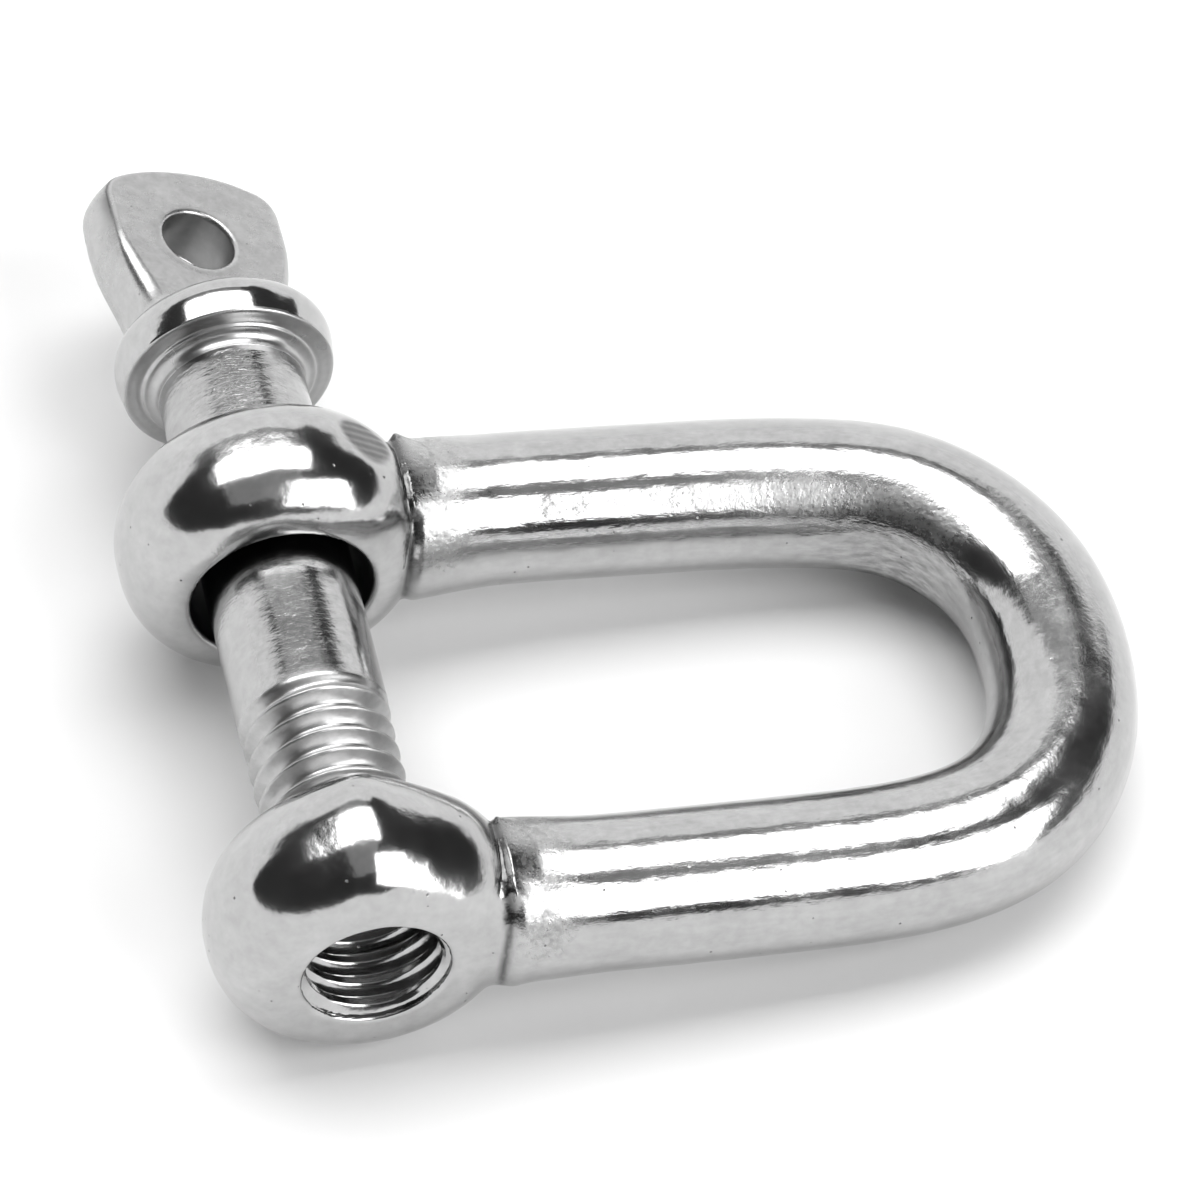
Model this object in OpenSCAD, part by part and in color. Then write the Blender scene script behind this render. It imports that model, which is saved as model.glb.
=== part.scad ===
// D shackle with a collared screw pin, 6 mm size, lying on its side with the pin partly unscrewed.
// Origin: on the pin's axis, midway between the two eyes. +Y points to the pin's head, +X to the
// crown of the bow and +Z up. The shackle rests on the surface z = -eye_d / 2.

/* [Pin] */
// Diameter of the plain shank, and nominal size of the thread
pin_d = 6; // [5.9:0.05:6.1]
// Pitch of the right-hand thread
pitch = 1; // [0.8:0.05:1.25]
// Length of the thread
thread_len = 7; // [6.5:0.1:7.4]
// How far the pin stands out from fully screwed in
pin_out = 5.2; // [4.6:0.1:5.2]

/* [Collar] */
// Diameter of the collar
collar_d = 8.9; // [8.4:0.1:9.4]
// Thickness of the collar along the pin
collar_t = 2.4; // [2:0.1:3]
// Radius of the collar's rounded back edge
collar_edge_r = 1; // [0.6:0.1:1.1]

/* [Head] */
// Length of the flat head beyond the collar
head_len = 7.9; // [7:0.1:8.4]
// Width of the head at its root
head_root_w = 6.2; // [5.6:0.1:6.4]
// Width of the head near its free end
head_w = 8.2; // [7.4:0.1:8.6]
// Thickness of the head at its root
head_root_t = 3.2; // [2.8:0.1:3.6]
// Thickness of the head at its free end
head_end_t = 2.6; // [2:0.1:2.8]
// Angle of the head's flat faces to the bow
head_turn = 23; // [0:1:45]
// Sideways offset of the forged head from the pin's axis
head_offset = -0.4; // [-0.5:0.1:0.5]
// Diameter of the hole for a key or lashing wire
key_hole_d = 3.1; // [2.6:0.1:3.4]
// Distance of that hole's centre from the collar
key_hole_y = 4; // [3.6:0.1:4.4]
// Sideways offset of that hole from the middle of the head
key_hole_offset = -0.2; // [-0.5:0.1:0.5]

/* [Bow] */
// Diameter of the round bar
bar_d = 6.1; // [5.8:0.1:6.4]
// Distance from the pin's axis to the inside of the crown
inside_len = 27; // [26:0.5:28]
// Distance from the middle of the bow to each leg's centre line, and radius of the crown's
leg_y = 9.6; // [9.4:0.05:9.7]

/* [Eyes] */
// Clear width between the two eyes
jaw_w = 12.6; // [12.4:0.1:12.8]
// Outer diameter of each eye
eye_d = 12.2; // [12:0.1:12.8]
// Thickness of each eye
eye_t = 6; // [5.8:0.1:6.2]
// Radius of the eyes' rounded edges
eye_edge_r = 2.3; // [1.8:0.1:2.4]
// Diameter of the plain hole
plain_hole_d = 7.2; // [7:0.1:7.4]
// Diameter of the chamfer at the threaded hole's outer mouth
mouth_d = 6.6; // [6.4:0.1:6.8]

/* [Hidden] */
$fn = 96;

// Thread form: 60 degree flanks with an eighth of a pitch flat on the crest and a quarter at the root
thread_steps = 36;
crest_flat = pitch / 8;
root_flat = pitch / 4;
thread_depth = (pitch - crest_flat - root_flat) / 2 * tan(60);
// The pin's thread is a little smaller than its shank, and the eye's is larger by the clearance
male_crest_r = pin_d / 2 - 0.05;
thread_clearance = 0.12;

// The pin turns inside its collar, so the neck there is thinner than the shank
neck_d = pin_d - 0.4;
neck_clearance = 0.03;

// Places along the pin's axis
eye_y = (jaw_w + eye_t) / 2;
eye_outer_y = jaw_w / 2 + eye_t;
collar_y = eye_outer_y + pin_out;
head_y = collar_y + collar_t;
// The pin's end is just inside the threaded eye's outer face when it is screwed home
end_recess = 0.1;
tip_y = -eye_outer_y + end_recess + pin_out;
thread_end_y = tip_y + thread_len;
tip_chamfer = 0.6;
// Surfaces that one solid cuts from another overrun by this much
over = 0.2;

// The legs are straight and the crown is a half circle
bar_r = bar_d / 2;
crown_x = inside_len + bar_r;
leg_end_x = crown_x - leg_y;
// Each leg grows to the bar's full size as it comes out of its eye
root_x = plain_hole_d / 2 + 0.4;
root_r = bar_r - 0.7;
full_x = eye_d / 2 + 0.6;
// The bow lies on the crown and on both eyes, so it leans down by this angle
lie = asin((eye_d / 2 - bar_r) / crown_x);

// A rod with a helical thread along +Z, starting at z = 0, with each end closed by a fan of triangles
module threaded_rod(crest_r, turns) {
    groove_r = crest_r - thread_depth;
    flank = (pitch - crest_flat - root_flat) / 2;
    profile = [
        [groove_r, 0], [groove_r, root_flat],
        [crest_r, root_flat + flank], [crest_r, root_flat + flank + crest_flat]
    ];
    np = len(profile);
    rows = turns * thread_steps;
    function point(row, j) = let (a = row * 360 / thread_steps)
        [profile[j][0] * cos(a), profile[j][0] * sin(a), profile[j][1] + row * pitch / thread_steps];
    // The last point of a row is joined to the first point one turn later
    function id(row, j) = j < np ? row * np + j : (row + thread_steps) * np;
    last = rows - thread_steps;
    points = [for (row = [0:rows]) for (j = [0:np - 1]) point(row, j)];
    low = len(points);
    high = low + 1;
    // Two triangles of the strip between a row and the next
    function strip(row, j) = [
        [id(row, j), id(row, j + 1), id(row + 1, j + 1)],
        [id(row, j), id(row + 1, j + 1), id(row + 1, j)]
    ];
    sides = [for (row = [0:last - 1]) for (j = [0:np - 1]) each strip(row, j)];
    top_sides = [for (row = [last:rows - 1]) for (j = [0:np - 2]) each strip(row, j)];
    low_fan = [for (row = [0:thread_steps - 1]) [id(row, 0), id(row + 1, 0), low]];
    low_step = [for (j = [0:np - 1]) [id(0, j + 1), id(0, j), low]];
    high_fan = [for (row = [last:rows - 1]) [id(row + 1, np - 1), id(row, np - 1), high]];
    high_step = [for (j = [0:np - 2]) [id(rows, j), id(rows, j + 1), high]];
    high_join = [[id(last, np - 1), id(rows, 0), high]];
    faces = concat(sides, top_sides, low_fan, low_step, high_fan, high_step, high_join);
    polyhedron(concat(points, [[0, 0, pitch / 2], [0, 0, turns * pitch]]), faces);
}

// Turns +Z to +Y and starts at a given place on the pin's axis
module along_pin(y) {
    translate([0, y, 0])
        rotate([-90, 0, 0])
            children();
}

// Both threads start a whole number of pitches from the origin, so that they are in mesh
module thread_from(y, crest_r, turns) {
    along_pin(floor(y / pitch) * pitch)
        threaded_rod(crest_r, turns);
}

// A disc with rounded edges around the pin's axis
module eye_disc(y) {
    flat = eye_t / 2 - eye_edge_r;
    core_r = eye_d / 2 - eye_edge_r;
    along_pin(y)
        rotate_extrude() {
            translate([0, -eye_t / 2])
                square([core_r, eye_t]);
            translate([0, -flat])
                square([eye_d / 2, 2 * flat]);
            for (side = [-1, 1])
                intersection() {
                    translate([core_r, side * flat])
                        circle(r = eye_edge_r);
                    translate([0, -eye_t])
                        square([eye_d, 2 * eye_t]);
                }
        }
}

// A straight leg, from inside its eye to the start of the crown
module leg(y) {
    translate([0, y, 0])
        rotate([0, 90, 0])
            rotate_extrude()
                polygon([[0, root_x], [root_r, root_x], [bar_r, full_x], [bar_r, leg_end_x], [0, leg_end_x]]);
}

module crown() {
    translate([leg_end_x, 0, 0])
        rotate([0, 0, -90])
            rotate_extrude(angle = 180)
                translate([leg_y, 0])
                    circle(d = bar_d);
}

module bow() {
    rotate([0, lie, 0]) {
        leg(leg_y);
        leg(-leg_y);
        crown();
    }
}

module shackle_body() {
    female_crest_r = male_crest_r + thread_clearance;
    cut_turns = ceil(eye_t / pitch) + 3;
    mouth_depth = mouth_d / 2 - (female_crest_r - thread_depth);
    color("silver")
        difference() {
            union() {
                bow();
                eye_disc(eye_y);
                eye_disc(-eye_y);
            }
            along_pin(jaw_w / 2 - over)
                cylinder(d = plain_hole_d, h = eye_t + 2 * over);
            thread_from(-eye_outer_y - pitch, female_crest_r, cut_turns);
            along_pin(-eye_outer_y - over)
                cylinder(d1 = mouth_d + 2 * over, d2 = mouth_d - 2 * mouth_depth, h = mouth_depth + over);
        }
}

module pin_collar() {
    flat_r = collar_d / 2 - collar_edge_r;
    color("gainsboro")
        along_pin(collar_y)
            difference() {
                rotate_extrude() {
                    square([collar_d / 2, collar_t - collar_edge_r]);
                    square([flat_r, collar_t]);
                    intersection() {
                        translate([flat_r, collar_t - collar_edge_r])
                            circle(r = collar_edge_r);
                        square([collar_d, collar_t]);
                    }
                }
                translate([0, 0, -over])
                    cylinder(d = neck_d + 2 * neck_clearance, h = collar_t + 2 * over);
            }
}

// Outline of the flat head in the plane of its faces, with the root on the X axis
module head_outline() {
    corner_r = 1;
    top_r = 7;
    widest_y = 4;
    steps = 6;
    side_w = head_w / 2 - corner_r;
    corner_y = head_len - top_r + sqrt(pow(top_r - corner_r, 2) - pow(side_w, 2));
    corner_up = atan2(corner_y - (head_len - top_r), side_w);
    right = concat(
        [[head_root_w / 2, 0], [head_w / 2, widest_y]],
        [for (i = [0:steps]) let (a = corner_up * i / steps)
            [side_w + corner_r * cos(a), corner_y + corner_r * sin(a)]],
        [for (i = [1:steps]) let (a = corner_up + (90 - corner_up) * i / steps)
            [top_r * cos(a), head_len - top_r + top_r * sin(a)]]
    );
    left = [for (i = [len(right) - 2:-1:0]) [-right[i].x, right[i].y]];
    polygon(concat(right, left));
}

// The head's own frame: X across its faces' width, Y along the pin and Z square to the faces
module head_frame() {
    translate([0, head_y, 0])
        rotate([0, head_turn, 0])
            translate([head_offset, 0, 0])
                children();
}

module head_blade() {
    head_frame()
        difference() {
            intersection() {
                translate([0, 0, -head_root_t])
                    linear_extrude(2 * head_root_t)
                        head_outline();
                translate([-head_w, 0, 0])
                    rotate([90, 0, 90])
                        linear_extrude(2 * head_w)
                            polygon([
                                [0, -head_root_t / 2], [head_len, -head_end_t / 2],
                                [head_len, head_end_t / 2], [0, head_root_t / 2]
                            ]);
            }
            translate([key_hole_offset, key_hole_y, -head_root_t])
                cylinder(d = key_hole_d, h = 2 * head_root_t);
        }
}

module screw_pin() {
    male_turns = ceil(thread_len / pitch) + 2;
    thread_slab_r = pin_d;
    tip_r = male_crest_r - tip_chamfer;
    color("lightgray") {
        intersection() {
            thread_from(tip_y - pitch, male_crest_r, male_turns + 1);
            along_pin(tip_y)
                cylinder(r = thread_slab_r, h = thread_len);
            along_pin(tip_y)
                cylinder(r1 = tip_r, r2 = tip_r + thread_len, h = thread_len);
        }
        along_pin(thread_end_y)
            cylinder(d = pin_d, h = collar_y - thread_end_y);
        along_pin(collar_y)
            cylinder(d = neck_d, h = collar_t);
        head_blade();
    }
}

shackle_body();
pin_collar();
screw_pin();
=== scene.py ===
import math

import bpy
import numpy as np
from mathutils import Matrix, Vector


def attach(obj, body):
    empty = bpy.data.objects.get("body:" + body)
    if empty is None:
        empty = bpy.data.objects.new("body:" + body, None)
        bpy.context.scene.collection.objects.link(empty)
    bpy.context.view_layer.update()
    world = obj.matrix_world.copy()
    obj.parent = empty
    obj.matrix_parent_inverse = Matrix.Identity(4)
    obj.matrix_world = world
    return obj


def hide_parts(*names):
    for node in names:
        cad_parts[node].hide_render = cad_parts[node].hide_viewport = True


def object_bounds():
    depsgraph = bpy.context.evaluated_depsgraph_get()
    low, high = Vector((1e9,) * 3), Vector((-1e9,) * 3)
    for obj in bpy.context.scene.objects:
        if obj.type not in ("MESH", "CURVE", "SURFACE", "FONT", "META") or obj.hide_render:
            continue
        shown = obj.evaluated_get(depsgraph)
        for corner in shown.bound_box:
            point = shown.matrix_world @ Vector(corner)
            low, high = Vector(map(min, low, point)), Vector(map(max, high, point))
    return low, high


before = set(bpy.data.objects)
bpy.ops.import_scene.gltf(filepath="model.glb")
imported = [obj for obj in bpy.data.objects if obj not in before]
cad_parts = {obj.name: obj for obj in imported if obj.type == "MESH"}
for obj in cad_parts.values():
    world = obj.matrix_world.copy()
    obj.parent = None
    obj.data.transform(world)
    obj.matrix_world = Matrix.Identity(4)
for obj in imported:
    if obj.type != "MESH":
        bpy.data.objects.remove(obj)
CAD_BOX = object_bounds()

# Shapes are worked out in millimetres in the CAD frame: the pin's axis is Y and the crown is at +X
MM = 0.001
# A painted value is at most 1, so lengths are painted as a share of this many millimetres
STREAK_SPAN = 100.0

# ---------------------------------------------------------------- sizes, as in the CAD part
PIN_R = 3.0
PITCH = 1.0
THREAD_DEPTH = 0.541
CREST_R = 2.95
THREAD_GAP = 0.12
THREAD_PHASE = 0.625
TIP_Y = -7.0
COLLAR_Y = 17.5
HEAD_Y = 19.9
NECK_R = 2.8
EYE_Y = 9.3
EYE_R = 6.1
EYE_HALF = 3.0
EYE_EDGE = 2.3
PLAIN_HOLE_R = 3.63
BORE_R = 3.1
LIE = math.radians(5.825)
HEAD_TURN = math.radians(23)
HEAD_OFFSET = -0.3

# Centre line of the bent bar in the bow's own plane, from the plain eye to the threaded one
BOW_LINE = [
    (3.2, 9.35), (7.5, 9.70), (13.1, 9.63), (18.75, 9.41), (22.5, 9.03), (25.6, 8.15),
    (28.5, 5.6), (29.75, 2.9), (30.05, 0.1), (29.6, -3.2), (28.1, -6.25), (25.6, -8.35),
    (22.35, -9.32), (17.0, -9.6), (8.2, -9.55), (3.2, -9.35),
]


# ---------------------------------------------------------------- small helpers
def smooth(x, a, b):
    """0 before a, 1 after b, and smooth between them."""
    t = np.clip((x - a) / (b - a), 0, 1)
    return t * t * (3 - 2 * t)


def bell(x, centre, width):
    """1 at the centre, falling to nothing about two widths away."""
    return np.exp(-(((x - centre) / width) ** 2))


def join(a, b, k):
    """Union of two distance fields with a fillet of about k."""
    h = np.maximum(k - np.abs(a - b), 0) / k
    return np.minimum(a, b) - h * h * k / 4


def cut(a, b, k):
    """Distance field a with b taken away, and the edge rounded by about k."""
    return -join(-a, b, k)


class Ripple:
    """A smooth random field in space: plane waves in random directions, within about -1 to 1."""

    def __init__(self, seed, length, waves=9):
        rng = np.random.default_rng(seed)
        way = rng.normal(size=(waves, 3))
        way /= np.linalg.norm(way, axis=1)[:, None]
        self.way = way * 2 * np.pi / (length * rng.uniform(0.7, 1.5, (waves, 1)))
        self.shift = rng.uniform(0, 2 * np.pi, waves)

    def __call__(self, p):
        return np.sin(p @ self.way.T + self.shift).sum(1) / math.sqrt(len(self.shift) * 2)


class Path:
    """A natural cubic spline in the plane, with the nearest point on it found by Newton's method."""

    def __init__(self, points):
        self.p = np.array(points, float)
        self.k = np.concatenate([[0], np.cumsum(np.hypot(*np.diff(self.p, axis=0).T))])
        h = np.diff(self.k)
        n = len(self.k)
        m, rhs = np.eye(n), np.zeros((n, 2))
        slope = np.diff(self.p, axis=0) / h[:, None]
        for i in range(1, n - 1):
            m[i, i - 1 : i + 2] = h[i - 1], 2 * (h[i - 1] + h[i]), h[i]
            rhs[i] = 6 * (slope[i] - slope[i - 1])
        self.m = np.linalg.solve(m, rhs)
        self.length = self.k[-1]
        self.table = np.linspace(0, self.length, 500)
        self.table_at = self.at(self.table)[0]

    def at(self, s):
        i = np.clip(np.searchsorted(self.k, s, side="right") - 1, 0, len(self.k) - 2)
        h = (self.k[i + 1] - self.k[i])[:, None]
        a = (self.k[i + 1] - s)[:, None] / h
        b = 1 - a
        p0, p1, m0, m1 = self.p[i], self.p[i + 1], self.m[i], self.m[i + 1]
        place = a * p0 + b * p1 + ((a**3 - a) * m0 + (b**3 - b) * m1) * h * h / 6
        rate = (p1 - p0) / h + ((3 * b * b - 1) * m1 - (3 * a * a - 1) * m0) * h / 6
        return place, rate, a * m0 + b * m1

    def guess(self, q):
        out = np.empty(len(q))
        for i in range(0, len(q), 8000):
            part = q[i : i + 8000]
            d = ((part[:, None, :] - self.table_at[None]) ** 2).sum(2)
            out[i : i + 8000] = self.table[d.argmin(1)]
        return out

    def nearest(self, q, s):
        """For points q, starting from guesses s: distance along, distance outwards and distance away."""
        for _ in range(3):
            c, v, a = self.at(s)
            gap = c - q
            s = s - (gap * v).sum(1) / np.maximum((v * v).sum(1) + (gap * a).sum(1), 0.2)
            s = np.clip(s, 0, self.length)
        c, v, _ = self.at(s)
        v = v / np.linalg.norm(v, axis=1)[:, None]
        gap = q - c
        return s, gap[:, 1] * v[:, 0] - gap[:, 0] * v[:, 1], np.linalg.norm(gap, axis=1)


CORNERS = [(i, j, k) for i in (0, 1) for j in (0, 1) for k in (0, 1)]


def net_points(f, cells):
    """A point in each cell, in grid steps: the mean of where the field changes sign on its edges."""
    value = {c: f[tuple((cells + c).T)] for c in CORNERS}
    total, hits = np.zeros((len(cells), 3)), np.zeros(len(cells))
    for a in CORNERS:
        for axis in range(3):
            if a[axis]:
                continue
            b = tuple(1 if n == axis else v for n, v in enumerate(a))
            fa, fb = value[a], value[b]
            crossed = (fa < 0) != (fb < 0)
            t = np.where(crossed, fa / np.where(crossed, fa - fb, 1), 0)
            place = np.array(a, float) + t[:, None] * (np.array(b) - np.array(a))
            total += place * crossed[:, None]
            hits += crossed
    return cells + total / hits[:, None]


def net_quads(inside, index, axis):
    """A quad round each grid edge along one axis that the surface crosses."""
    one, two = [n for n in range(3) if n != axis]
    here = inside[tuple(slice(0, -1) if n == axis else slice(None) for n in range(3))]
    there = inside[tuple(slice(1, None) if n == axis else slice(None) for n in range(3))]
    edges = np.argwhere(here != there)
    edges = edges[(edges[:, one] > 0) & (edges[:, two] > 0)]
    edges = edges[(edges[:, one] < index.shape[one]) & (edges[:, two] < index.shape[two])]
    ring = []
    for da, db in ((1, 1), (0, 1), (0, 0), (1, 0)):
        cell = edges.copy()
        cell[:, one] -= da
        cell[:, two] -= db
        ring.append(index[tuple(cell.T)])
    ring = np.stack(ring, 1)
    starts_inside = here[tuple(edges.T)]
    outward = starts_inside if axis != 1 else ~starts_inside
    return np.where(outward[:, None], ring, ring[:, ::-1])


def surface_net(f, low, step):
    """Vertices and quads around the inside (f < 0) of a field sampled on a grid."""
    inside = f < 0
    shape = tuple(n - 1 for n in f.shape)
    count = np.zeros(shape, np.int8)
    for c in CORNERS:
        count += inside[tuple(slice(o, o + n) for o, n in zip(c, shape))]
    cells = np.argwhere((count > 0) & (count < len(CORNERS)))
    index = np.full(shape, -1, np.int64)
    index[tuple(cells.T)] = np.arange(len(cells))
    verts = low + step * net_points(f, cells)
    return verts, np.concatenate([net_quads(inside, index, axis) for axis in range(3)])


def gradient(field, p, step=0.01):
    g = np.empty_like(p)
    for n in range(3):
        off = np.zeros(3)
        off[n] = step
        g[:, n] = (field(p + off) - field(p - off)) / (2 * step)
    return g


def settle(field, p, rounds=3):
    """Moves points onto the surface of a field, and gives them with the surface's normals."""
    for _ in range(rounds):
        g = gradient(field, p)
        size = (g * g).sum(1)
        move = field(p) / np.maximum(size, 0.2)
        p = p - np.clip(move, -0.15, 0.15)[:, None] * g
    g = gradient(field, p)
    return p, g / np.linalg.norm(g, axis=1)[:, None]


def add_object(name, data):
    obj = bpy.data.objects.new(name, data)
    bpy.context.scene.collection.objects.link(obj)
    return obj


def new_object(name, verts, faces):
    mesh = bpy.data.meshes.new(name)
    mesh.from_pydata((verts * MM).tolist(), [], faces)
    mesh.validate()
    mesh.polygons.foreach_set("use_smooth", np.ones(len(mesh.polygons), bool))
    return add_object(name, mesh)


def aim(obj, axes, centre):
    """Puts a light or a camera at a centre, with its own axes along the columns of axes."""
    rows = [list(row) + [v] for row, v in zip(axes, centre)]
    obj.matrix_world = Matrix(rows + [[0, 0, 0, 1]])


def points_of(obj):
    co = np.empty(len(obj.data.vertices) * 3)
    obj.data.vertices.foreach_get("co", co)
    return co.reshape(-1, 3) / MM


def place_points(obj, p, normals):
    obj.data.vertices.foreach_set("co", (p * MM).ravel())
    obj.data.update()
    obj.data.normals_split_custom_set_from_vertices(normals.tolist())


def thin_out(obj, ratio):
    """Fewer triangles where the surface is flatter."""
    mod = obj.modifiers.new("thin", "DECIMATE")
    mod.ratio = ratio
    graph = bpy.context.evaluated_depsgraph_get()
    mesh = bpy.data.meshes.new_from_object(obj.evaluated_get(graph))
    obj.modifiers.clear()
    obj.data = mesh


def paint(obj, name, values):
    """Keeps a value for each vertex, for a material to read."""
    layer = obj.data.attributes.new(name, "FLOAT", "POINT")
    layer.data.foreach_set("value", np.clip(values, 0, 1).astype(np.float32))


def dress(obj, body, node, material):
    obj.data.materials.clear()
    obj.data.materials.append(material)
    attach(obj, body)
    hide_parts(node)


def angles(columns):
    """The angle of each column of a grid that goes once round."""
    return np.arange(columns) * 2 * np.pi / columns


def ring_grid(rows, columns, closed_rows=False):
    """Quads of a grid whose columns go once round, outward when rows go along +Y and columns along theta."""
    last = rows if closed_rows else rows - 1
    i, j = np.meshgrid(np.arange(last), np.arange(columns), indexing="ij")
    i, j = i.ravel(), j.ravel()
    k, n = (i + 1) % rows, (j + 1) % columns
    return np.stack([i * columns + j, i * columns + n, k * columns + n, k * columns + j], 1).tolist()


# ---------------------------------------------------------------- the bow and its eyes
BOW = Path(BOW_LINE)
WAVE = Ripple(3, 5.0)
DIMPLE = Ripple(5, 1.1)
LUMP = Ripple(7, 0.7)
# The ground flat on the plain eye: its direction in the bow's own plane, and its distance from the centre
FACET = np.array([0.609, 0.10, 0.787])
FACET_AT = 6.91


def taper(u):
    """How much thinner the bar is inside the eyes."""
    return 1.2 * smooth(-u, -5.7, -4.1)


def bar_radius(s, u):
    """Radius of the bent bar, at s along it and u from the pin: it flares towards the eyes."""
    r = 3.03 + 0.17 * smooth(-u, -9.5, -5.3)
    r = r - taper(u)
    return r - 0.03 * bell(s, BOW.length / 2, 12)


def eye_field(p, y):
    """An eye centred at y along the pin's axis, before it is drilled."""
    rad = np.hypot(p[:, 0], p[:, 2])
    angle = np.mod(np.degrees(np.arctan2(p[:, 2], p[:, 0])) + 90, 360) - 90
    # On top each eye is a little wider towards +Y
    tilt, flat = (0.1, 0.15) if y < 0 else (0.06, 0.4)
    rad = rad - tilt * (p[:, 1] - y - 0.6) * bell(angle, 90, 60)
    if y < 0:
        # The threaded eye is peaked on top, and flatter on the side towards its leg
        rad = rad + 0.12 * bell(angle, 85, 55) - 0.34 * bell(angle, 95, 13) + 0.26 * bell(angle, 58, 20)
    # The rim is nearly flat in the middle and rounds off towards the faces
    across = np.hypot(p[:, 1] - y, flat) - flat
    a = rad - (EYE_R - EYE_EDGE)
    b = across * EYE_EDGE / (math.hypot(EYE_HALF, flat) - flat)
    beyond = np.hypot(np.maximum(a, 0), b)
    return np.where(a > 0, beyond, b) - EYE_EDGE


def drill(f, p):
    """The plain hole, and the bore that the thread's own piece lines."""
    rad = np.hypot(p[:, 0], p[:, 2])
    plain = np.maximum(rad - PLAIN_HOLE_R, -p[:, 1])
    # A lip at the mouth of the bore hides the end of the thread's piece
    face = -EYE_Y - EYE_HALF
    lip = 0.24 * (1 - smooth(p[:, 1], face + 0.14, face + 0.34))
    bore = np.maximum(rad - BORE_R + lip, p[:, 1])
    return cut(cut(f, plain, 0.3), bore, 0.24)


def bow_shape(p, s, out, away):
    """The bow's distance field, and how far each point is from the line where a leg meets its eye."""
    bar = np.hypot(away, p[:, 2]) - bar_radius(s, p[:, 0])
    # Its top rises a little to meet the eye
    rise = np.hypot(np.maximum(6.6 - p[:, 0], 0), 0.25) - 0.25
    rise = 0.33 * rise + taper(p[:, 0])
    bar = bar - np.minimum(rise, 0.58) * smooth(p[:, 2], 2.2, 3.2)
    # A grinder has left a small flat on the plain eye
    plain_eye = cut(eye_field(p, EYE_Y), FACET_AT - p @ FACET, 0.12)
    eyes = np.minimum(plain_eye, eye_field(p, -EYE_Y))
    # Each leg runs more gently into its eye on the outer side, but clear of where the collar seats
    side = smooth(np.abs(p[:, 1]) - EYE_Y, 0.8, 2.6)
    side = side * np.where(p[:, 1] > 0, smooth(p[:, 0], 4.4, 5.5), 1)
    f = join(bar, eyes, 0.3 + 1.1 * side)
    # The press has left a flat where the first leg starts to turn
    f = cut(f, 3.35 - 0.62 * bell(s, 24.4, 7) + out, 0.15)
    return drill(f, p), bar - eyes


def bow_field(s0):
    """The bow's field with its waviness, for points that lie near places s0 along its centre line."""
    def field(p):
        f, seam = bow_shape(p, *BOW.nearest(p[:, :2], s0))
        ragged = np.exp(-seam * seam / 0.25) * smooth(p[:, 0], 3.5, 5)
        return f + 0.006 * WAVE(p) + 0.0035 * DIMPLE(p) + 0.014 * ragged * LUMP(p)

    return field


def bow_grid(step):
    """The bow's field on a grid that holds all of it, and the grid's lowest corner."""
    low = np.array([-6.7, -13.2, -6.7])
    high = np.array([33.9, 13.3, 6.7])
    n = np.ceil((high - low) / step).astype(int) + 1
    u, y, w = (low[i] + step * np.arange(n[i]) for i in range(3))
    flat = np.stack(np.meshgrid(u, y, indexing="ij"), -1).reshape(-1, 2)
    lines = BOW.nearest(flat, BOW.guess(flat))
    p = np.column_stack([np.repeat(flat, n[2], 0), np.tile(w, len(flat))])
    f, _ = bow_shape(p, *(np.repeat(v, n[2]) for v in lines))
    return f.reshape(n), low


def lean(p):
    """From the bow's own plane to the frame: it leans down by LIE to lie on its crown and eyes."""
    c, s = math.cos(LIE), math.sin(LIE)
    return np.column_stack([p[:, 0] * c + p[:, 2] * s, p[:, 1], p[:, 2] * c - p[:, 0] * s])


def paint_bow(obj, p, s, out, away):
    """Where the bow is speckled, rough, streaked or ground, and where shade is painted in its creases, its
    plain hole and on its ground flat. The points are in the bow's own plane.
    """
    _, seam = bow_shape(p, s, out, away)
    on_leg = smooth(p[:, 0], 3.5, 5)
    # The angle round the bar goes from the outer side at 0, over the top at 90, to the inner side at 180
    angle = np.mod(np.degrees(np.arctan2(p[:, 2], out)) + 90, 360) - 90
    rad = np.hypot(p[:, 0], p[:, 2])
    in_hole = smooth(PLAIN_HOLE_R + 0.12 - rad, 0, 0.1) * (p[:, 1] > 0)
    press = bell(s, 23.5, 5.0) * smooth(angle, 140, 152)
    bend = smooth(s, 13, 19) * (1 - smooth(s, 25.5, 28.5)) * bell(angle, 131, 17)
    root = bell(p[:, 0], 6.3, 1.3) * smooth(p[:, 2], -1.0, 1.5)
    crown = bell(s, 35, 9) * bell(angle, 72, 36)
    # The ground flat is real and its grooves are relief, but its darker colour is painted shade
    facet = smooth(0.05 - np.abs(FACET_AT - p @ FACET), 0, 0.04) * smooth(p[:, 1], 4, 6) * (p[:, 0] < 6)
    # Shade is painted along the crease where each leg meets its eye, in a wider band over the top of the leg
    crease_shade_mask = np.maximum(np.exp(-seam * seam / 0.06), np.exp(-seam * seam / 0.22) * smooth(p[:, 2], 1.2, 2.4))
    paint(obj, "crease_shade", crease_shade_mask * on_leg)
    paint(obj, "grain", np.maximum(np.maximum(0.95 * bend, 0.9 * root), 0.28 * crown))
    paint(obj, "streak", np.maximum(press, 0.16 * on_leg))
    # Shade is painted inside the plain hole
    paint(obj, "dark", in_hole)
    paint(obj, "facet", facet)
    paint(obj, "fine", np.radians(angle + 90) * 3 / STREAK_SPAN)
    paint(obj, "long", s / STREAK_SPAN)


def make_bow(material):
    step = 0.13
    f, low = bow_grid(step)
    verts, quads = surface_net(f, low, step)
    verts, _ = settle(bow_field(BOW.guess(verts[:, :2])), verts, 2)
    obj = new_object("bow", verts, quads.tolist())
    thin_out(obj, 0.46)
    p = points_of(obj)
    s0 = BOW.guess(p[:, :2])
    p, normals = settle(bow_field(s0), p, 2)
    place_points(obj, lean(p), lean(normals))
    paint_bow(obj, p, *BOW.nearest(p[:, :2], s0))
    dress(obj, "shackle_body", "shackle_body", material)


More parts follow.
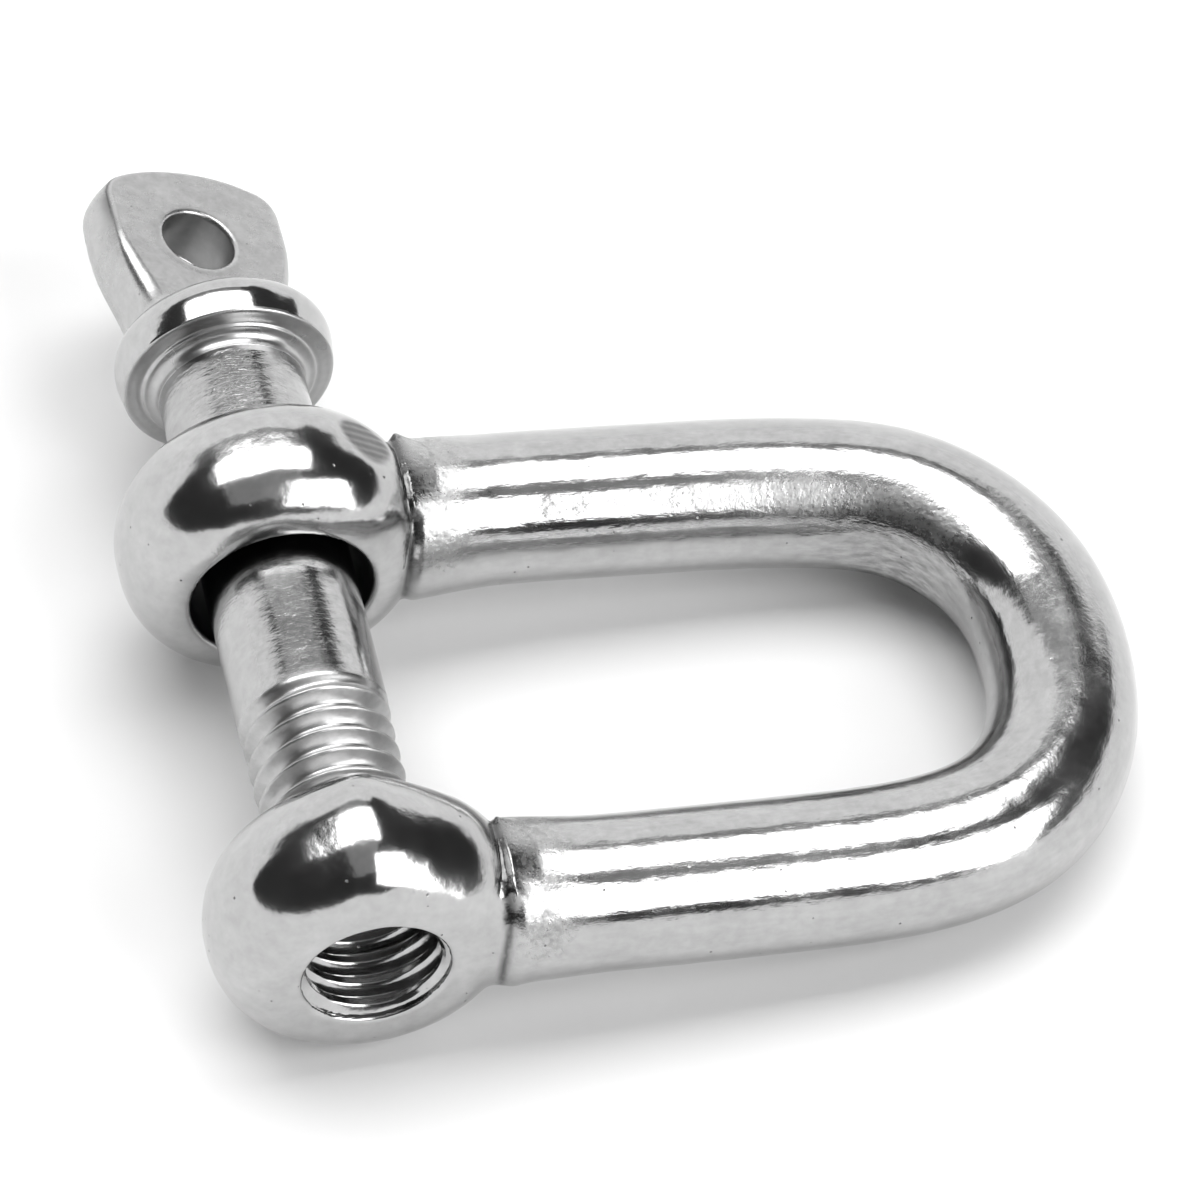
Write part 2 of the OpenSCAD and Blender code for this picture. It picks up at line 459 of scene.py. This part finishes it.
# ---------------------------------------------------------------- threads
def thread_radius(theta, y):
    """The pin's thread, with narrow crests and wide rounded roots."""
    turn = y / PITCH - THREAD_PHASE - theta / (2 * np.pi)
    away = np.abs(turn - np.round(turn))
    t = np.clip((away - 0.04) / 0.42, 0, 1)
    return CREST_R - THREAD_DEPTH * (0.3 * t + 0.7 * np.sin(t * np.pi / 2))


def around(radius, y, theta):
    """Points at a radius round the pin's axis. theta is right-handed about +Y."""
    return np.stack([radius * np.cos(theta), y + 0 * theta, -radius * np.sin(theta)], -1)


def make_bore_thread(material):
    """The lining of the threaded eye's bore: the thread inside, and an outer side sunk in the eye."""
    columns = 200
    y = np.linspace(-EYE_Y - EYE_HALF + 0.24, -EYE_Y + EYE_HALF - 0.12, 170)
    theta = angles(columns)
    yy, tt = np.meshgrid(y, theta, indexing="ij")
    r = np.maximum(thread_radius(tt, yy) + THREAD_GAP, 2.6)
    mouth = np.maximum(3.14 - 5 * (yy - y[0]), 2.84 - 0.9 * (yy - y[0]))
    back = 2.85 - (y[-1] - yy)
    r = np.minimum(np.maximum(np.maximum(r, mouth), back), BORE_R + 0.04)
    inner = around(r, yy, tt).reshape(-1, 3)
    far_y, near_y = np.full(columns, y[-1]), np.full(columns, y[0])
    rims = [around(BORE_R + 0.14, yr, theta) for yr in (far_y - 0.02, near_y + 0.02)]
    verts = np.concatenate([inner] + rims)
    quads = [quad[::-1] for quad in ring_grid(len(y) + 2, columns, closed_rows=True)]
    obj = new_object("bore_thread", verts, quads)
    dress(obj, "shackle_body", "shackle_body", material)


def shank_side(theta):
    """Points of the thread, its run-out and the plain shank, in rows from the tip."""
    thread_y = np.arange(TIP_Y, 0.4, 0.045)
    plain_y = np.arange(0.5, COLLAR_Y - 0.05, 0.17)
    y = np.concatenate([thread_y, plain_y, [COLLAR_Y - 0.04]])
    yy, tt = np.meshgrid(y, theta, indexing="ij")
    run_out = smooth(yy, -0.95, 0.12)
    r = thread_radius(tt, yy)
    r = r + (PIN_R - r) * run_out
    r = np.minimum(r, 2.35 + (yy - TIP_Y))
    p = around(r, yy, tt).reshape(-1, 3)
    away = np.column_stack([p[:, 0], 0 * p[:, 0], p[:, 2]]) / PIN_R
    return p - away * (0.006 + 0.005 * WAVE(p * 1.7) + 0.002 * DIMPLE(p))[:, None]


def make_shank(material):
    columns = 240
    theta = angles(columns)
    neck = [around(NECK_R, np.full(columns, v), theta) for v in (COLLAR_Y + 0.02, HEAD_Y - 0.15)]
    tip_face = [around(v, np.full(columns, TIP_Y + 0.02 * (v < 1)), theta) for v in (0.5, 1.5)]
    verts = np.concatenate(tip_face + [shank_side(theta)] + neck)
    rows = len(verts) // columns
    verts = np.concatenate([verts, [[0, TIP_Y + 0.05, 0], [0, HEAD_Y - 0.15, 0]]])
    faces = ring_grid(rows, columns)
    first, last = rows * columns, (rows - 1) * columns
    for j in range(columns):
        n = (j + 1) % columns
        faces.append([first, n, j])
        faces.append([first + 1, last + j, last + n])
    obj = new_object("pin_shank", verts, faces)
    at = points_of(obj)
    angle = np.mod(np.arctan2(-at[:, 2], at[:, 0]) - np.pi / 2, 2 * np.pi)
    paint(obj, "grain", 0.16 + 0.1 * smooth(at[:, 1], 8.5, 13))
    paint(obj, "dull", 0.8 - 0.8 * smooth(at[:, 1], -0.2, 0.6))
    paint(obj, "streak", 0.14 * smooth(at[:, 1], 0.5, 1.5) + 0.16 * smooth(at[:, 1], 12, 13.5))
    paint(obj, "fine", (at[:, 1] - TIP_Y) / STREAK_SPAN)
    paint(obj, "long", angle * PIN_R / STREAK_SPAN)
    dress(obj, "screw_pin", "screw_pin", material)


# ---------------------------------------------------------------- the collar
# Half outline of the collar from the end of its fillet on the shank, round the rim, to its back
COLLAR_FRONT = [(3.005, -0.62), (3.025, -0.42), (3.11, -0.25), (3.25, -0.14), (3.42, -0.09)]
COLLAR_STEP = [(3.5, -0.075), (3.545, -0.04), (3.57, 0.015), (3.62, 0.04), (3.75, 0.045)]
COLLAR_RIM = [(4.05, 0.07), (4.23, 0.09), (4.3, 0.13), (4.33, 0.22), (4.38, 0.5), (4.43, 0.85)]
COLLAR_BACK = [(4.455, 1.2), (4.4, 1.55), (4.21, 1.9), (3.88, 2.16), (3.5, 2.33), (3.1, 2.385)]


def make_collar(material):
    columns = 256
    line = Path(COLLAR_FRONT + COLLAR_STEP + COLLAR_RIM + COLLAR_BACK)
    outer, _, _ = line.at(np.linspace(0, line.length, 110))
    inner = np.array([(NECK_R + 0.03, 2.385), (NECK_R + 0.03, 0.0), (2.96, -0.06), (2.96, -0.62)])
    section = np.concatenate([outer, inner])
    rr, tt = np.meshgrid(section[:, 0], angles(columns), indexing="ij")
    yy = np.repeat(section[:, 1], columns).reshape(rr.shape) + COLLAR_Y
    # The rim isn't quite round or quite flat
    rim = smooth(rr, 3.7, 4.4)
    rr = rr + rim * (0.02 * np.cos(tt - 2.6) + 0.012 * np.cos(3 * tt + 1))
    yy = yy + 0.02 * rim * np.cos(tt + 0.8)
    verts = around(rr, yy, tt).reshape(-1, 3)
    obj = new_object("collar", verts, ring_grid(len(section), columns, closed_rows=True))
    paint(obj, "dull", 0.8 * (rr.ravel() < 4.31) * (verts[:, 1] < COLLAR_Y + 0.6))
    dress(obj, "pin_collar", "pin_collar", material)


# ---------------------------------------------------------------- the flat head
HEAD_LEN = 7.9
# Its end is an arc. The arc and the two narrow sides lie a little to one side of the middle
TOP_R = 7.0
TOP_SHIFT = -0.12
HEAD_SKEW = 0.14
KEY_HOLE_R = 1.55


def from_key_hole(p):
    """Distance from the axis of the hole in the head."""
    return np.hypot(p[:, 0] + 0.3, p[:, 1] - 4.0)


def head_field(p):
    """p is across the head's width, along the pin from the collar's back, and square to its faces."""
    a, b, c = p.T
    thick = 1.62 - 0.33 * np.clip(b / HEAD_LEN, 0, 1)
    # The narrow sides bulge, more towards the end
    bulge = 0.6 * smooth(b, 0, 5) * (1 - np.clip(c / thick, -1, 1) ** 2)
    sides = np.abs(a + HEAD_SKEW) - 3.15 - 0.55 * smooth(b, -0.6, 4.6) - bulge
    top = np.hypot(a - TOP_SHIFT, b - HEAD_LEN + TOP_R) - TOP_R
    outline = np.maximum(cut(sides, -top, 0.7), -b - 0.3)
    faces = np.abs(c) - thick + 0.05 * bell(a, 0, 4)
    edge = 0.15 + 0.6 * (1 - smooth(b, 0, 4.6))
    beyond = np.hypot(np.maximum(outline + edge, 0), np.maximum(faces + edge, 0))
    blade = np.minimum(np.maximum(outline, faces) + edge, 0) + beyond - edge
    rad = np.hypot(a + HEAD_OFFSET, c)
    pad = np.hypot(np.maximum(rad - 2.6, 0), (b + 0.35) * 1.6) - 0.62
    f = cut(join(blade, pad, 0.9), from_key_hole(p) - KEY_HOLE_R, 0.22)
    return f + 0.01 * WAVE(p * 1.3) + 0.003 * DIMPLE(p)


def make_head(material):
    step = 0.1
    low, high = np.array([-4.9, -0.75, -3.7]), np.array([4.7, 8.3, 3.7])
    n = np.ceil((high - low) / step).astype(int) + 1
    axes = (low[i] + step * np.arange(n[i]) for i in range(3))
    p = np.stack(np.meshgrid(*axes, indexing="ij"), -1).reshape(-1, 3)
    verts, quads = surface_net(head_field(p).reshape(n), low, step)
    verts, normals = settle(head_field, verts)
    c, s = math.cos(HEAD_TURN), math.sin(HEAD_TURN)

    def turned(q, shift, up):
        a = q[:, 0] + shift
        return np.column_stack([a * c + q[:, 2] * s, q[:, 1] + up, q[:, 2] * c - a * s])

    obj = new_object("pin_head", verts, quads.tolist())
    from_hole = from_key_hole(verts)
    place_points(obj, turned(verts, HEAD_OFFSET, HEAD_Y), turned(normals, 0, 0))
    # Shade is painted as a dark line along one long edge of the blade, near its end
    edge = bell(-normals[:, 0] - normals[:, 2], 0, 0.3) * (normals[:, 2] > 0.3) * smooth(verts[:, 1], 3.2, 5)
    paint(obj, "crease_shade", edge)
    paint(obj, "grain", 0.1 + 0.3 * bell(from_hole, 1.85, 0.2))
    paint(obj, "dull", np.full(len(verts), 0.6))
    # Shade is painted on the wall of the hole in the head
    paint(obj, "dark", 0.45 * (from_hole < 1.9) * (np.abs(normals[:, 2]) < 0.5))
    dress(obj, "screw_pin", "screw_pin", material)


# ---------------------------------------------------------------- materials
class Nodes:
    """Short ways to add and join shader nodes."""

    def __init__(self, tree):
        self.tree = tree

    def add(self, kind, **settings):
        node = self.tree.nodes.new(kind)
        for key, value in settings.items():
            setattr(node, key, value)
        return node

    def join(self, a, b):
        self.tree.links.new(a, b)

    def noise(self, where, length, detail=3.0, rough=0.55):
        """Noise of a given length in millimetres."""
        node = self.add("ShaderNodeTexNoise")
        node.inputs["Scale"].default_value = 1 / (length * MM)
        node.inputs["Detail"].default_value = detail
        node.inputs["Roughness"].default_value = rough
        self.join(where, node.inputs["Vector"])
        return node.outputs["Fac"]

    def ramp(self, value, low, high, to_low=0.0, to_high=1.0):
        node = self.add("ShaderNodeMapRange")
        for key, number in zip(("From Min", "From Max", "To Min", "To Max"), (low, high, to_low, to_high)):
            node.inputs[key].default_value = number
        self.join(value, node.inputs["Value"])
        return node.outputs["Result"]

    def math(self, how, a, b=None):
        node = self.add("ShaderNodeMath", operation=how)
        for socket, value in zip(node.inputs, (a, b)):
            if isinstance(value, (int, float)):
                socket.default_value = value
            elif value is not None:
                self.join(value, socket)
        return node.outputs[0]

    def painted(self, name):
        return self.add("ShaderNodeAttribute", attribute_name=name).outputs["Fac"]

    def grey(self, value):
        """A colour with the same red, green and blue."""
        node = self.add("ShaderNodeCombineColor")
        for socket in node.inputs:
            self.join(value, socket)
        return node.outputs[0]


def new_material(name):
    """A material, its nodes, its shader and the place of a point on its piece."""
    material = bpy.data.materials.new(name)
    material.use_nodes = True
    n = Nodes(material.node_tree)
    shader = material.node_tree.nodes["Principled BSDF"]
    return material, n, shader, n.add("ShaderNodeTexCoord").outputs["Object"]


STEEL_TINT = 0.47
# Radians per millimetre, square to the grooves of the ground flat
GROOVE_ACROSS = np.array([-4.62, 15.87, -0.50])


def scratch_lines(n):
    """Streaks left by drawing and turning the bar, along one painted direction."""
    lines = n.add("ShaderNodeCombineXYZ")
    n.join(n.math("MULTIPLY", n.painted("fine"), STREAK_SPAN * MM), lines.inputs["X"])
    n.join(n.math("MULTIPLY", n.painted("long"), STREAK_SPAN * MM / 4), lines.inputs["Y"])
    return n.noise(lines.outputs["Vector"], 0.28, 3, 0.6)


def pit_spots(n, where, speck, amount):
    """Pits are small, and only a few of the cells have one."""
    cell = n.add("ShaderNodeTexVoronoi")
    cell.inputs["Scale"].default_value = 1 / (0.5 * MM)
    n.join(where, cell.inputs["Vector"])
    ragged = n.math("ADD", cell.outputs["Distance"], n.ramp(speck, 0.3, 0.7, 0, 0.14))
    spot = n.ramp(ragged, 0.12, 0.2, 1, 0)
    tone = n.add("ShaderNodeSeparateColor")
    n.join(cell.outputs["Color"], tone.inputs["Color"])
    rare = n.ramp(tone.outputs[0], 0.78, 0.9)
    return n.math("MULTIPLY", n.math("MULTIPLY", spot, rare), amount)


def steel_colour(n, where, m):
    shade = n.ramp(m["cloud"], 0.3, 0.7, STEEL_TINT * 0.94, STEEL_TINT * 1.06)
    shade = n.math("MULTIPLY", shade, n.ramp(n.noise(where, 0.5, 4, 0.6), 0.3, 0.7, 0.93, 1.07))
    # Pits, grain spots and scratches darken the steel, and so does shade painted along creases, inside holes
    # and on the ground flat
    dirt_and_shade = n.math("MAXIMUM", n.math("MULTIPLY", m["pit"], 0.6), n.math("MULTIPLY", m["crease_shade"], 0.75))
    dirt_and_shade = n.math("MAXIMUM", dirt_and_shade, n.math("MULTIPLY", m["dark"], 0.93))
    spots = n.math("MULTIPLY", n.math("MULTIPLY", m["grain"], n.ramp(m["speck"], 0.45, 0.62)), 0.35)
    dirt_and_shade = n.math("MAXIMUM", dirt_and_shade, spots)
    lines = n.ramp(m["scratches"], 0.35, 0.65, 0, 0.45)
    dirt_and_shade = n.math("MAXIMUM", dirt_and_shade, n.math("MULTIPLY", m["streak"], lines))
    dirt_and_shade = n.math("MAXIMUM", dirt_and_shade, n.math("MULTIPLY", m["facet"], 0.68))
    return n.grey(n.math("MULTIPLY", shade, n.math("SUBTRACT", 1.0, dirt_and_shade)))


def steel_roughness(n, m, rough):
    r = n.ramp(m["cloud"], 0.35, 0.75, rough * 0.75, rough * 1.35)
    r = n.math("ADD", r, n.math("MULTIPLY", m["grain"], n.ramp(m["speck"], 0.35, 0.65, 0.08, 0.3)))
    r = n.math("ADD", r, n.math("MULTIPLY", m["dull"], 0.22))
    return n.math("ADD", r, n.math("MULTIPLY", n.math("MAXIMUM", m["pit"], m["dark"]), 0.3))


def ground_grooves(n, where, speck):
    """The grinder's grooves lie across its flat, and waver a little."""
    across = n.add("ShaderNodeVectorMath", operation="DOT_PRODUCT")
    across.inputs[1].default_value = GROOVE_ACROSS / MM
    n.join(where, across.inputs[0])
    return n.math("SINE", n.math("ADD", across.outputs["Value"], n.math("MULTIPLY", speck, 1.5)))


def steel_relief(n, where, m):
    """The surface's height in millimetres, as a bump."""
    height = n.math("MULTIPLY", n.noise(where, 1.0, 2), 0.006)
    patchy = n.ramp(m["cloud"], 0.4, 0.6, 0.003, 0.009)
    height = n.math("ADD", height, n.math("MULTIPLY", n.noise(where, 0.38, 3), patchy))
    rough_relief = n.math("MULTIPLY", n.noise(where, 0.22, 4, 0.65), 0.03)
    height = n.math("ADD", height, n.math("MULTIPLY", rough_relief, m["grain"]))
    height = n.math("ADD", height, n.math("MULTIPLY", n.math("MULTIPLY", m["scratches"], 0.06), m["streak"]))
    height = n.math("SUBTRACT", height, n.math("MULTIPLY", m["pit"], 0.012))
    groove = n.math("MULTIPLY", ground_grooves(n, where, m["speck"]), 0.009)
    height = n.math("ADD", height, n.math("MULTIPLY", groove, m["facet"]))
    bump = n.add("ShaderNodeBump")
    bump.inputs["Distance"].default_value = MM
    n.join(height, bump.inputs["Height"])
    return bump.outputs["Normal"]


def steel(name, rough, pits):
    """Polished stainless steel: faint waviness, cloudy patches, pits and hairline scratches."""
    material, n, shader, where = new_material(name)
    shader.inputs["Metallic"].default_value = 1.0
    m = {mark: n.painted(mark) for mark in ("grain", "dull", "crease_shade", "dark", "facet", "streak")}
    m["cloud"] = n.noise(where, 3.0, 4)
    m["speck"] = n.noise(where, 0.3, 4, 0.7)
    m["scratches"] = scratch_lines(n)
    m["pit"] = pit_spots(n, where, m["speck"], pits)
    n.join(steel_colour(n, where, m), shader.inputs["Base Color"])
    n.join(steel_roughness(n, m, rough), shader.inputs["Roughness"])
    n.join(steel_relief(n, where, m), shader.inputs["Normal"])
    return material


# ---------------------------------------------------------------- floor, lights and camera
def make_floor():
    """Pale paper: flat round the object, and rising gently towards its far edge."""
    columns = 96
    rings = np.array([1, 60, 150, 300, 450, 600, 800, 1000, 1200, 1400, 1600, 1800], float)
    low = CAD_BOX[0].z / MM
    rise = 0.00015 * np.maximum(rings - 300, 0) ** 2
    verts = [
        [r * math.cos(t), r * math.sin(t), low + h * (1 - 0.4 * math.cos(t))]
        for r, h in zip(rings, rise)
        for t in -angles(columns)
    ]
    verts.append([0, 0, low])
    faces = ring_grid(len(rings), columns)
    faces += [[(j + 1) % columns, j, len(verts) - 1] for j in range(columns)]
    floor = new_object("floor", np.array(verts), faces)
    material, n, shader, where = new_material("paper")
    shade = n.ramp(n.noise(where, 60, 2), 0.3, 0.7, 0.80, 0.82)
    n.join(n.grey(shade), shader.inputs["Base Color"])
    shader.inputs["Roughness"].default_value = 0.9
    shader.inputs["Specular IOR Level"].default_value = 0.1
    floor.data.materials.append(material)


def panel(name, centre, side, away, wide, tall, radiance):
    """A soft light of wide by tall metres. away points from the object to it, and side along its width."""
    light = bpy.data.lights.new(name, "AREA")
    light.shape = "RECTANGLE"
    light.size, light.size_y = wide, tall
    light.energy = radiance * math.pi * wide * tall
    z = np.array(away) / np.linalg.norm(away)
    x = side - z * np.dot(side, z)
    x /= np.linalg.norm(x)
    aim(add_object(name, light), np.column_stack([x, np.cross(z, x), z]), centre)


def make_lights():
    """Two large softboxes, pale walls behind, and a dim ceiling. The open sides stay dark."""
    panel("overhead", (0.25, 2.7, 10), (1, 0, 0), (0, 0, 1), 12.5, 6.6, 4.5)
    panel("side", (5.9, -6.0, 5.45), (0.817, 0.308, -0.488), (5.65, -5.95, 5.71), 7.8, 7.6, 4.5)
    panel("wall", (-16.5, 10, 5.25), (1, 0, 0), (0, 1, 0), 47, 10.5, 1.2)
    panel("low_wall", (11.5, 10, 3.8), (1, 0, 0), (0, 1, 0), 9, 7.6, 1.2)
    panel("ceiling", (-0.25, 0, 10.2), (1, 0, 0), (0, 0, 1), 10.5, 22, 0.3)
    world = bpy.data.worlds.new("studio")
    bpy.context.scene.world = world
    world.use_nodes = True
    sky = world.node_tree.nodes["Background"]
    sky.inputs["Color"].default_value = (0.04, 0.04, 0.04, 1)
    sky.inputs["Strength"].default_value = 1.0


# The camera, as fitted to the photograph: azimuth, elevation and roll in degrees, then its place in
# millimetres along its own right, up and backward axes, and its lens in millimetres
CAMERA_TURN = (-14.498, 51.776, 2.445)
CAMERA_PLACE = (11.106, 4.721, 287.008)
CAMERA_LENS = 221.73


def make_camera():
    """The photograph's viewing angle."""
    az, el, roll = (math.radians(v) for v in CAMERA_TURN)
    back = np.array([math.sin(az) * math.cos(el), -math.cos(az) * math.cos(el), math.sin(el)])
    right = np.cross(-back, [0, 0, 1])
    right /= np.linalg.norm(right)
    up = np.cross(right, -back)
    right, up = math.cos(roll) * right + math.sin(roll) * up, math.cos(roll) * up - math.sin(roll) * right
    axes = np.column_stack([right, up, back])
    place = axes @ CAMERA_PLACE * MM
    camera = bpy.data.cameras.new("camera")
    camera.sensor_width = 36
    camera.lens = CAMERA_LENS
    camera.clip_start, camera.clip_end = 0.01, 50
    camera.dof.use_dof = False
    obj = add_object("camera", camera)
    aim(obj, axes, place)
    bpy.context.scene.camera = obj


def set_view():
    view = bpy.context.scene.view_settings
    view.view_transform = "Standard"
    view.look = "None"


BODY_STEEL = steel("body_steel", rough=0.15, pits=1.0)
PIN_STEEL = steel("pin_steel", rough=0.12, pits=0.5)
make_camera()
make_floor()
make_lights()
set_view()
make_bow(BODY_STEEL)
make_bore_thread(BODY_STEEL)
make_shank(PIN_STEEL)
make_collar(PIN_STEEL)
make_head(PIN_STEEL)
